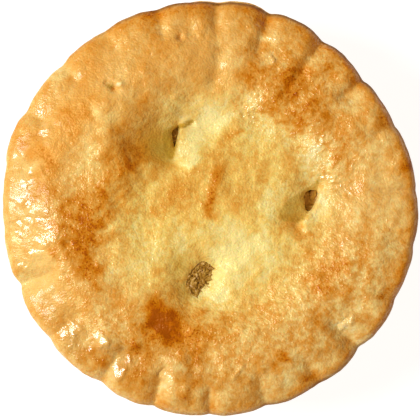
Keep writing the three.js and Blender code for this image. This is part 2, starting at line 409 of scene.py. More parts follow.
# How toasted the case is: paler towards the lip and browner at the foot, as shares of the lip's height, and
# with patches over the base and the wall, which run on from one to the other
CASE_TOAST = 0.54
LIP_PALER = 0.2
LIP_FADE = (0.7, 1)
FOOT_BROWNER = 0.14
FOOT_FADE = (0, 0.3)
PATCH_COUNT = 160
PATCH_RADII = (2.5, 8)
PATCH_TOAST = 0.12
WALL_UNROLLING = 0.35
CASE_SPECKLE = 0.6
draws = np.random.default_rng(5)
case_patches = np.column_stack([
    draws.uniform(-RIM_RADIUS, RIM_RADIUS, PATCH_COUNT),
    draws.uniform(-RIM_RADIUS, RIM_RADIUS, PATCH_COUNT),
    draws.uniform(*PATCH_RADII, PATCH_COUNT),
    draws.uniform(-PATCH_TOAST, PATCH_TOAST, PATCH_COUNT),
])
case_radius = np.hypot(case_places[:, 0], case_places[:, 1])
unrolled = 1 + WALL_UNROLLING * case_places[:, 2] / np.maximum(case_radius, 1)
up_wall = np.clip(case_places[:, 2] / LIP_HEIGHT, 0, 1)
case_toast = CASE_TOAST - LIP_PALER * smoothstep(*LIP_FADE, up_wall)
case_toast += FOOT_BROWNER * (1 - smoothstep(*FOOT_FADE, up_wall))
case_toast += spread_of(case_patches, case_places[:, 0] * unrolled, case_places[:, 1] * unrolled)
paint(case, "toast", case_toast)
for name in ("glaze", "butter", "damp_and_shade", "shade_and_scorch"):
    paint(case, name, np.zeros(len(case_places)))
paint(case, "speckle", np.full(len(case_places), CASE_SPECKLE))
case.data.materials.append(pastry)
bpy.ops.object.shade_smooth()
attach(case, "root")
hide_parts("crust")


# Mince filling: minced beef cooked in gravy, spooned into the case before the lid went on.
# It fills the case up to the underside of the lid.
FIT_GAP = 0.3
FILL_TOP_STEP = 1.5
FILL_TOP_END = 2
RIM_TOP = 32.2
RING_HEIGHT = 37.5
RING_RADIUS = 41
MIDDLE_SINK = 2.8
PILLOW_RISE = 0.7
MIDDLE_RADIUS = 30
LID_SAG = 3.4


def lid_underside(radius):
    """The height of the lid's underside: up from the rim to the ring, then down into the middle, where it
    sags into the filling round the vents."""
    rise = 1 - smoothstep(RING_RADIUS, RIM_RADIUS, radius)
    sink = 1 - smoothstep(MIDDLE_RADIUS, RING_RADIUS, radius)
    pillow = max(0, 1 - (radius / MIDDLE_RADIUS) ** 2)
    top = RIM_TOP + (RING_HEIGHT - RIM_TOP) * rise - MIDDLE_SINK * sink + PILLOW_RISE * pillow
    return float(top - CRUST_THICKNESS - LID_SAG * sink)


def select_only(piece):
    bpy.ops.object.select_all(action="DESELECT")
    piece.select_set(True)
    bpy.context.view_layer.objects.active = piece


fill_inset = CRUST_THICKNESS + FIT_GAP
fill_floor = (BASE_RADIUS - fill_inset - FOOT_ROUND / 2, fill_inset)
fill_foot = (BASE_RADIUS - fill_inset, fill_inset + FOOT_ROUND)
fill_wall_top = (WALL_TOP_RADIUS - fill_inset, LIP_HEIGHT - CRUST_THICKNESS / 2 - FIT_GAP)
fill_top = [
    (ring, lid_underside(ring) - FIT_GAP)
    for ring in np.arange(fill_wall_top[0] - 1, FILL_TOP_END, -FILL_TOP_STEP)
]
filling = rolled_disc("pie_filling", fill_floor[0], fill_inset, cuts=(5,))
draw_rows(fill_floor, [fill_foot, fill_wall_top] + fill_top)
close_edge()
knead(filling, "filling_lumps", size=2, depth=0.6, detail=2)

# Cooked minced beef in gravy: grey-brown meat with darker gravy in the gaps and paler fat, moist all over
MEAT_COLOURS = [(0.28, "#885C14"), (0.45, "#AA7A24"), (0.6, "#BE923A"), (0.75, "#D6B466")]
MEAT_SIZE = 1.1
mince, tree, shader = new_material("minced_beef_in_gravy")
coords = add_node(tree, "TexCoord", "Object")
meat = add_node(
    tree, "TexNoise", "Fac", {"Vector": coords, "Scale": 1 / (MEAT_SIZE * MM), "Detail": 3, "Roughness": 0.6}
)
meat_colour = add_node(tree, "ValToRGB", "Color", {"Fac": meat})
set_stops(meat_colour.node.color_ramp, MEAT_COLOURS)
set_sockets(shader, {"Base Color": meat_colour, "Roughness": 0.42, "IOR": 1.4})
filling.data.materials.append(mince)
select_only(filling)
bpy.ops.object.shade_smooth()
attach(filling, "root")
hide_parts("mince_filling")


# Lid: a rolled sheet of shortcrust laid over the filling, pinched on to the lip, cut with three steam
# vents and pricked, then brushed with egg. Steam lifted a ring round a sunken middle as it baked.
TOP_EDGE = (RIM_RADIUS - 2, RIM_TOP)
# The lid's round edge: steps out from the rim, and up from its top
LID_ROUND = [(-1.1, -0.2), (-0.4, -0.7), (0, -1.3), (0, -1.9), (-0.4, -2.4)]
UNDERSIDE_RISE = 1
UNDERSIDE_RADII = (48, 44, 40, 35, 30, 20, 10)
VENT_EDGE_ANGLE = 50
PINCH_DEPTH = 2.5
EDGE_DROP = 1.2
# On the left the lid slopes evenly down to the rim: how far round, and between which radii
LEFT_SPREAD = 40
LEFT_SLOPE = (43, 66)
# How much higher the rim stands at an angle
RIM_RISES = [
    (0, 4.3), (40, 4.2), (80, 2.4), (120, 1.6), (160, -0.4), (200, -0.6), (222, 2), (240, 3.4), (280, 3.4),
    (305, 3.2), (330, 4),
]
# The outline of the sunken middle: angle, radius, and half the width of its slope
MIDDLE_EDGE = [
    (10, 36.5, 5.5), (35, 35.5, 5.5), (68, 31.5, 5), (100, 34, 7), (125, 32, 5), (140, 31, 5),
    (155, 24, 4.5), (175, 23, 6), (205, 24.5, 7), (245, 28, 7), (275, 31, 7), (310, 33, 8), (340, 35, 6),
]
# Hollows and swells: place, radius, and height
RISES = [
    # The middle
    (-6, 16.5, 4.5, 1), (-6, 17, 4, -0.4), (-7, 12, 4, -0.15), (2.5, 6, 3, 0.5), (5, 2, 3, 0.3),
    (6, -8, 11, 0.4), (10, -10, 6, -0.35), (-12, -10, 6, 0.5), (-16, -10, 6, 0.5), (-4, -19.5, 6.5, -0.8),
    # The ring, from the right round through the top and the left
    (25, -4, 4, 0.3), (26, -8, 4, 0.4), (40, 12, 4, -0.7), (40, 7, 4.5, -0.9), (40, 5, 4, -0.85),
    (40, -2, 5, -0.7), (39, -6, 4, -0.7), (39, -10, 4, -0.3), (36, -14, 4, -0.4), (35.5, 16, 4, -0.7),
    (34, 20, 4, -0.5), (33, 26, 4, 0.2), (25, 33, 4, -0.4), (24, 30, 9, 0.5), (22, 31, 3, -0.4),
    (15.5, 29, 3.5, 0.4), (13, 31, 5, -0.7), (12.5, 25, 3, -0.3), (10, 38, 4, -0.3), (5, 37, 3, -0.6),
    (0, 27, 6, 0.1), (0, 25, 5, -0.7), (-1.5, 24.5, 4, -0.5), (-9, 26, 3.5, -0.9), (-10.5, 26.5, 3, 0.8),
    (-12, 34, 3, -0.4), (-14, 33, 7, 0.6), (-18, 32, 3, -0.3), (-20, 36, 11, 0.6), (-14, 24, 4.5, 0.7),
    (-15, 20, 8, -1.4), (-19, 24, 4, 0.5), (-18, 12, 4, 0.6), (-21, 13, 4, 0.5), (-25, 30, 4, 0.35),
    (-25, 30, 3.5, 0.35), (-32, 26, 4, -0.5), (-39, 18, 4, -0.3), (-40, 12, 4, -0.3), (-42, 7, 7, -0.7),
    (-36, 8, 4, 0.1), (-26, 2, 3, -0.7), (-28, 1, 4, -0.3), (-36, -6, 8, 0.5), (-30, -9, 5.5, -0.6),
    (-30, -14, 4, -0.4), (-27, -21, 4, -0.4), (-24, -21, 4, -0.4), (-14, -19, 4, 0.7), (-12, -20, 4, 0.5),
    (-16, -33, 3.5, -0.7), (-15, -35, 3.5, -0.7), (-13, -34, 7, 0.4), (-9, -36, 4, -0.75),
    (-9, -37.5, 3.5, -0.5), (-7, -28, 4, -0.7), (-1, -40, 4, -0.4), (3, -28, 4, -0.4), (12, -35, 5, 0.25),
    (13, -36, 4, 0.4), (20, -14, 9, 0.8), (21, -33, 4, 0.4), (24, -31, 4, 0.35), (28, -31, 4, 0.5),
    (33, -20, 3, -0.35), (35, -18, 4, -0.6), (36, -17, 10, 0.5),
    # The rim, from the right round through the top and the left
    (52, -10, 5, 0.6), (48, -13, 4, 0.7), (47, -14, 3, 0.5), (52, 4, 4, 0.35), (55, 13, 3, 0.4),
    (55, 14, 4, 0.7), (51, 22, 3, 0.4), (51, 23, 3, 0.5), (36, 24, 3, -0.3), (42.5, 24, 3, 0.35),
    (46, 28, 4, 0.75), (48, 28, 4, 0.8), (49, 33, 3, 0.3), (43, 33.5, 3, -0.3), (42, 37, 4, 0.7),
    (40, 40, 4, 0.5), (28, 35, 5, -0.5), (31, 37, 4, -0.3), (28.5, 43, 3, 0.8), (30, 46, 3, 0.7),
    (18, 44, 3, -0.4), (17, 42, 4, -0.4), (15, 51, 2.5, 0.6), (14, 51, 3, 0.7), (-2, 46, 3, -0.25),
    (-5, 51, 4, -0.6), (-7, 51, 3.5, -0.7), (-14, 48, 6, 0.35), (-26, 37, 3, -0.25), (-34, 27, 8, 0.4),
    (-38.5, 39, 2.2, 0.7), (-52, 23, 5, 0.5), (-44, -36, 4, 1.2), (-41, -34, 3, 0.4),
    (-29.8, -37.8, 3.6, 1.1), (-28.5, -46, 3.5, 0.8), (-28, -47, 4, 0.6), (-22, -40, 3, 0.4),
    (-12, -44.5, 3, -0.4), (-6, -52, 2.5, 0.8), (-6, -50, 3, 0.7), (-1, -43, 3, -0.7), (4, -43, 3, -0.4),
    (14, -47, 3.5, 0.7), (24, -51, 3, -0.5), (28.5, -42, 3, 0.7), (40, -33, 3, 0.5), (39.5, -29, 3, -0.7),
    (48, -23, 4, 0.5), (49, -23, 3, 0.7),
    # The two pricks of the docker, each a pit with a lip
    (-27.2, 34.4, 1, -1.6), (-25.8, 35.7, 1.1, 0.8), (-8.6, 49.2, 0.8, -1.4), (-7.1, 50, 1, 0.5),
]
# The vents. Each has a lip along its right side, from where the lid dips on the left: the middle of the
# lip, half its length, the way it runs, how far it bows out to the right, the dip's depth and width, the
# width of the lip's own face, how far the hole's edge rolls down, and the outline of the hole
VENTS = [
    dict(
        x=-9.8, y=19.8, half=5.6, turn=82, bow=0.3, depth=3, width=11, lip=0.9, roll=0.9,
        hole=[(-11, 22.2), (-9.6, 23.3), (-9.2, 22.2), (-9.8, 19.4), (-10.3, 17.8), (-10.7, 19.6)],
    ),
    dict(
        x=28.4, y=0.8, half=6.5, turn=60, bow=1.2, depth=3, width=8.5, lip=0.7, roll=0.8,
        hole=[
            (27, 3.6), (28.4, 5.2), (30.7, 5.2), (31, 3.8), (30.4, 1.8), (28.9, -0.6), (27.5, -0.2),
            (27.3, 2),
        ],
    ),
    dict(
        x=-0.5, y=-20, half=6, turn=66, bow=0.8, depth=1.5, width=9, lip=4.4, roll=0.4,
        hole=[
            (-2.4, -15.2), (0, -16.8), (-0.4, -19), (-1.8, -21.2), (-4, -24.9), (-5.9, -24), (-6.9, -21.8),
            (-5.6, -18.4),
        ],
    ),
]
# Past which share of the lip's half length a dip fades, over which share, how it curves up to the left, and
# how much wider the lip's face gets below and above, by distance past its end
VENT_END = 0.7
VENT_FADE = 0.6
DIP_CURVE = 1.4
LIP_FLARE = (1.5, 0.5)
HOLE_ROLL_WIDTH = 1.1
OUTLINE_STEPS = 6
CUTTER_DROP = 1
CUTTER_HEIGHT = 20
# Folds and creases: from, to, half width, and height
FOLDS = [
    ((-10, 23), (-4.6, 25), 1.1, -1.1), ((-30, 34), (-30.5, 14), 3, 0.7),
    ((-30.4, 36.6), (-26.8, 34.3), 0.9, -0.9), ((3.5, 14), (-1, -1), 1.6, 0.22),
    ((3.5, 48), (0.5, 34), 2.4, -1.1), ((20.5, 32), (30, 46.5), 1.2, -0.3),
    ((16, 45), (18.5, 40.5), 1.2, 0.5), ((46, 5.2), (58, 5), 0.6, -0.5),
    ((-42, -11), (-39.5, -9.5), 1, -0.5), ((-41.5, -32.3), (-36, -35.2), 0.6, 0.5),
    ((-22.5, -40.5), (-35, -37.5), 1.3, 0.6), ((-25, -42), (-9, -42.5), 2.2, -0.8),
    ((-10.5, -42), (-11.5, -57), 3.2, 0.7), ((-4.8, -38), (-5.6, -57), 1.5, -0.6),
    ((-4.6, -38), (-5.2, -42.5), 0.6, 0.35), ((6, -49.5), (10, -44.5), 0.7, 0.4),
]
# How a streak fades in and out, as shares of its length
STREAK_START = (-0.1, 0.2)
STREAK_END = (0.8, 1.1)
# Fine wrinkles where the rim was stretched thin, a fan of short ridges and furrows between two angles:
# widths in degrees, and the reach and turns for each millimetre of the waves that they run in
WRINKLE_COUNT = 40
WRINKLE_ANGLES = (164, 204)
WRINKLE_WIDTHS = (0.8, 1.8)
WRINKLE_RADII = (47, 56)
WRINKLE_LENGTHS = (2, 5)
WRINKLE_HEIGHTS = (0.08, 0.22)
WRINKLE_WAVES = (1.2, 0.9)
# Blisters and flecks end short of the edge, and blisters are lower on the smooth rim on the left
SCATTER_EDGE = 1.5
SMOOTH_RIM = -44
SMOOTH_SHARE = 0.25
# Dabs of egg that dried smooth, each a row of small flats tilted towards the light: from, to, and half its
# width
DABS = [
    ((-27.6, -48), (-25, -41.5), 0.9), ((-27, -48.4), (-24.4, -42), 1),
    ((-26.4, -48.6), (-23.8, -42.6), 0.9), ((-34.6, -40), (-30.2, -38.2), 1),
    ((-32.8, -37), (-31.6, -36), 0.8), ((-33.6, -38.6), (-30.4, -37.2), 1),
    ((-14.6, -48.4), (-11.4, -48), 0.9), ((-13.8, -46.8), (-11.4, -46.6), 0.8),
    ((-40.8, -39), (-39.4, -36.3), 0.9), ((-40, -33.4), (-35.6, -36), 0.6),
    ((-49.3, -9.3), (-45.5, -7.7), 1.5), ((-49.8, -1.3), (-53, 3), 1.1), ((-55.3, 6.8), (-52.1, 7.4), 1.3),
    ((-51.1, 10.2), (-52.3, 13.2), 1), ((-51.8, -12.1), (-48.2, -12.3), 0.9),
    ((-53.6, -3), (-51.2, -4), 0.9), ((-55.6, -7.1), (-54.6, -7.9), 1), ((-49.7, -3.4), (-47.5, -1), 0.7),
    ((-48, 20.8), (-47, 22.4), 0.9), ((-49.3, 27.5), (-48.3, 28.1), 0.9), ((-57, 15.4), (-54.5, 15.1), 0.9),
    ((-56, -16), (-53, -16.1), 0.7), ((-57, 2.6), (-52.5, 2.2), 0.9), ((-51.5, 0.5), (-47, -2.6), 1),
    ((-46.4, -5), (-46, -8.6), 0.8), ((-56.5, -4), (-50, -5), 0.6), ((-42, -36), (-40.5, -39.5), 0.8),
    ((10.6, 25.4), (10.2, 31.6), 0.6), ((12, 26), (11.4, 31), 0.6), ((14.6, 28.6), (14.2, 32.2), 0.6),
    ((13, 30), (12.8, 32.4), 0.5), ((17.8, 42), (16.8, 44.2), 0.6), ((17.5, 48), (18.3, 49.8), 0.8),
    ((32, 16), (34.6, 15.8), 0.6), ((32.4, 14.6), (34.8, 14.4), 0.6), ((30.2, 15.8), (28.6, 18.2), 0.6),
    ((31.1, 17.8), (32.3, 21.2), 0.6), ((32.2, 9.4), (35.4, 9), 0.6), ((40.3, 3.9), (36.7, 5.7), 0.7),
    ((39.8, 6.5), (37, 8.7), 0.6), ((40, 11.3), (40.6, 12.5), 0.6), ((34.5, 8.2), (37.5, 8.6), 0.5),
    ((36, 6.6), (40, 7.4), 0.6), ((38, -34.8), (40.4, -31), 0.8), ((37, -11.4), (39.6, -8), 0.7),
]
SHINE_SLOPE = (0.39, -0.04)
# How far each flat strays, as a share of the dab's half width, how its size varies, how uneven its edge is
# and in what waves, how square its shoulders are, and how far it and its gloss reach
DAB_STRAY = 0.5
FLAT_SIZES = (0.8, 1.2)
FLAT_UNEVEN = 0.25
FLAT_WAVES = (2.2, 1.9)
FLAT_SHOULDER = 3
FLAT_REACH = 1.2
GLOSS_REACH = 1.1


def rounded(outline):
    """A smooth closed line through the points of an outline."""
    points = np.array(outline)
    before, after, beyond = (np.roll(points, shift, axis=0) for shift in (1, -1, -2))
    line = []
    for i in range(OUTLINE_STEPS):
        t = i / OUTLINE_STEPS
        squared = (2 * before - 5 * points + 4 * after - beyond) * t**2
        cubed = (3 * points - before - 3 * after + beyond) * t**3
        line.append(0.5 * (2 * points + (after - before) * t + squared + cubed))
    return np.stack(line, axis=1).reshape(-1, 2)


def hole_roll(vent, x, y):
    """How far the lid's edge rolls down round a vent's hole."""
    near = np.full_like(x, np.inf)
    for edge_x, edge_y in rounded(vent["hole"]):
        near = np.minimum(near, np.hypot(x - edge_x, y - edge_y))
    return vent["roll"] * np.maximum(0, 1 - near / HOLE_ROLL_WIDTH) ** 2


def vent_dip(vent, x, y):
    """How far the lid dips to the left of a vent's lip, and fades out past its ends."""
    turn = math.radians(vent["turn"])
    away_x, away_y = x - vent["x"], y - vent["y"]
    along = (away_x * math.cos(turn) + away_y * math.sin(turn)) / vent["half"]
    bow = vent["bow"] * np.maximum(0, 1 - along**2) ** 2
    left = away_y * math.cos(turn) - away_x * math.sin(turn) + bow
    past_end = np.maximum(np.abs(along) - VENT_END, 0) * vent["half"]
    slope = (1 - np.clip(left / vent["width"], 0, 1)) ** DIP_CURVE
    lip = smoothstep(-vent["lip"] - LIP_FLARE[0] * past_end, LIP_FLARE[1] * past_end, left)
    return vent["depth"] * slope * lip * np.exp(-((past_end / (VENT_FADE * vent["half"])) ** 2))


def streak(start, end, half_width, x, y):
    """One soft-edged streak from a place to another."""
    run_x, run_y = end[0] - start[0], end[1] - start[1]
    length = math.hypot(run_x, run_y)
    along = ((x - start[0]) * run_x + (y - start[1]) * run_y) / length**2
    across = ((x - start[0]) * run_y - (y - start[1]) * run_x) / length
    fade = smoothstep(*STREAK_START, along) * (1 - smoothstep(*STREAK_END, along))
    return fade * np.exp(-((across / half_width) ** 2))


def streaks_of(streaks, x, y):
    """The sum of streaks, each with its amount."""
    total = np.zeros_like(x)
    for start, end, half_width, amount in streaks:
        total += amount * streak(start, end, half_width, x, y)
    return total


def bare_lid(x, y):
    """The height of the lid's upper side without the dabs of egg."""
    radius = np.hypot(x, y)
    angle = np.degrees(np.arctan2(y, x))
    edge_angles, edge_radii, edge_slopes = zip(*MIDDLE_EDGE)
    middle = np.interp(angle, edge_angles, edge_radii, period=360)
    slope = np.interp(angle, edge_angles, edge_slopes, period=360)
    left = np.exp(-((turn_between(angle, 180) / LEFT_SPREAD) ** 2))
    even_fall = smoothstep(*LEFT_SLOPE, radius) / smoothstep(*LEFT_SLOPE, RIM_RADIUS)
    rise = 1 - left * even_fall - (1 - left) * smoothstep(RING_RADIUS, RIM_RADIUS, radius)
    sink = 1 - smoothstep(middle - slope, middle + slope, radius)
    pillow = np.maximum(0, 1 - (radius / MIDDLE_RADIUS) ** 2)
    rim = RIM_TOP + np.interp(angle, *zip(*RIM_RISES), period=360)
    height = rim + (RING_HEIGHT - rim) * rise - MIDDLE_SINK * sink + PILLOW_RISE * pillow
    far_and_near = np.sin(np.radians(angle)) ** 2
    height -= EDGE_DROP * far_and_near * smoothstep(RIM_RADIUS - LIP_WIDTH, RIM_RADIUS, radius)
    height += spread_of(RISES, x, y) + streaks_of(FOLDS, x, y)
    for at, strength, reach, width in PINCHES:
        in_band = smoothstep(reach, RIM_RADIUS - LIP_WIDTH, radius)
        height -= PINCH_DEPTH * strength * in_band * pinch_profile(turn_between(angle, at), width)
    for vent in VENTS:
        height -= vent_dip(vent, x, y) + hole_roll(vent, x, y)
    return height


def flat_share(at_x, at_y, half_width, x, y):
    """How far a flat of egg takes over from the bare lid: wholly in its middle, not at all past its uneven
    edge."""
    uneven = FLAT_UNEVEN * half_width
    away_x = x - at_x + uneven * np.sin(FLAT_WAVES[0] * y + at_x)
    away_y = y - at_y + uneven * np.sin(FLAT_WAVES[1] * x + at_y)
    return np.exp(-((np.hypot(away_x, away_y) / half_width) ** FLAT_SHOULDER))


draws = np.random.default_rng(3)
flats = []
for dab_start, dab_end, dab_width in DABS:
    dab_run = np.subtract(dab_end, dab_start)
    flat_count = 1 + round(math.hypot(*dab_run) / dab_width)
    for i in range(flat_count):
        stray = draws.uniform(-DAB_STRAY, DAB_STRAY, 2) * dab_width
        flat_x, flat_y = dab_start + dab_run * (i + 0.5) / flat_count + stray
        flat_height = float(bare_lid(np.array([flat_x]), np.array([flat_y]))[0])
        flats.append((flat_x, flat_y, dab_width * draws.uniform(*FLAT_SIZES), flat_height))


def lid_top(x, y):
    """The height of the lid's upper side."""
    bare = bare_lid(x, y)
    pull, weight = np.zeros_like(x), np.ones_like(x)
    for at_x, at_y, half_width, height in flats:
        share = flat_share(at_x, at_y, FLAT_REACH * half_width, x, y)
        pull += share * (height + SHINE_SLOPE[0] * (x - at_x) + SHINE_SLOPE[1] * (y - at_y) - bare)
        weight += share
    return bare + pull / np.maximum(weight - 1, 1)


draws = np.random.default_rng(11)
wrinkles = [
    (
        draws.uniform(*WRINKLE_ANGLES), draws.uniform(*WRINKLE_WIDTHS), draws.uniform(*WRINKLE_RADII),
        draws.uniform(*WRINKLE_LENGTHS), draws.choice([-1, 1]) * draws.uniform(*WRINKLE_HEIGHTS),
    )
    for _ in range(WRINKLE_COUNT)
]


def wrinkled(x, y):
    """The height of the fine wrinkles."""
    radius = np.hypot(x, y)
    angle = np.degrees(np.arctan2(y, x)) + WRINKLE_WAVES[0] * np.sin(radius * WRINKLE_WAVES[1])
    total = np.zeros_like(x)
    for at, width, middle, length, height in wrinkles:
        away = turn_between(angle, at) / width
        total += height * np.exp(-(away**2) - ((radius - middle) / length) ** 2)
    return total


def scattered(count, smallest, largest, least, most):
    """Random spots over the lid: place, radius and amount."""
    out = (RIM_RADIUS - SCATTER_EDGE) * np.sqrt(draws.uniform(0, 1, count))
    turn = draws.uniform(0, 2 * math.pi, count)
    size = smallest * (largest / smallest) ** draws.uniform(0, 1, count)
    amount = draws.uniform(least, most, count)
    return np.column_stack([out * np.cos(turn), out * np.sin(turn), size, amount])


blisters = scattered(count=900, smallest=0.7, largest=2.2, least=0.04, most=0.2)
blisters[blisters[:, 0] < SMOOTH_RIM, 3] *= SMOOTH_SHARE
flecks = scattered(count=700, smallest=0.45, largest=1.3, least=0.1, most=0.45)
lid = rolled_disc("pie_lid", *TOP_EDGE, cuts=(12, 11))
lid_edge = [(RIM_RADIUS + out, RIM_TOP + up) for out, up in LID_ROUND] + [(SEAM_RADIUS, SEAM_HEIGHT)]
last_row = draw_rows(TOP_EDGE, lid_edge)
bpy.ops.object.mode_set(mode="OBJECT")
lid_places = places_of(lid)
lid_x, lid_y = lid_places[:, 0].copy(), lid_places[:, 1].copy()
squeeze = np.clip((lid_places[:, 2] - SEAM_HEIGHT) / (RIM_TOP - SEAM_HEIGHT), 0, 1)
lift = lid_top(lid_x, lid_y) - RIM_TOP + wrinkled(lid_x, lid_y) + spread_of(blisters, lid_x, lid_y)
lid_places[:, 2] += squeeze * lift
push_rim(lid_places, RING_RADIUS, RIM_LOBES)
move_to(lid, lid_places)
bpy.ops.object.mode_set(mode="EDIT")
under_lip = [(WALL_TOP_RADIUS, SEAM_HEIGHT), (inside_top, SEAM_HEIGHT + UNDERSIDE_RISE)]
draw_rows(last_row, under_lip + [(ring, lid_underside(ring)) for ring in UNDERSIDE_RADII])
close_edge()
knead(lid, "lid_waves", size=9, depth=0.8, detail=1)
knead(lid, "lid_crumb", size=2.4, depth=0.22, detail=1)

for vent in VENTS:
    hole_edge = rounded(vent["hole"])
    bpy.ops.object.select_all(action="DESELECT")
    bpy.ops.mesh.primitive_circle_add(
        vertices=len(hole_edge), radius=MM, fill_type="NGON", location=(0, 0, (LIP_HEIGHT - CUTTER_DROP) * MM)
    )
    cutter = bpy.context.object
    bpy.ops.object.transform_apply(location=True, rotation=True, scale=True)
    blank = places_of(cutter)
    blank[:, :2] = hole_edge
    move_to(cutter, blank)
    bpy.ops.object.mode_set(mode="EDIT")
    bpy.ops.mesh.select_all(action="SELECT")
    bpy.ops.mesh.extrude_region_move(TRANSFORM_OT_translate={"value": (0, 0, CUTTER_HEIGHT * MM)})
    bpy.ops.mesh.select_all(action="SELECT")
    bpy.ops.mesh.normals_make_consistent(inside=False)
    bpy.ops.object.mode_set(mode="OBJECT")
    modifier = lid.modifiers.new("vent", "BOOLEAN")
    modifier.operation = "DIFFERENCE"
    modifier.solver = "EXACT"
    modifier.object = cutter
    bpy.context.view_layer.objects.active = lid
    bpy.ops.object.modifier_apply(modifier="vent")
    bpy.data.objects.remove(cutter)
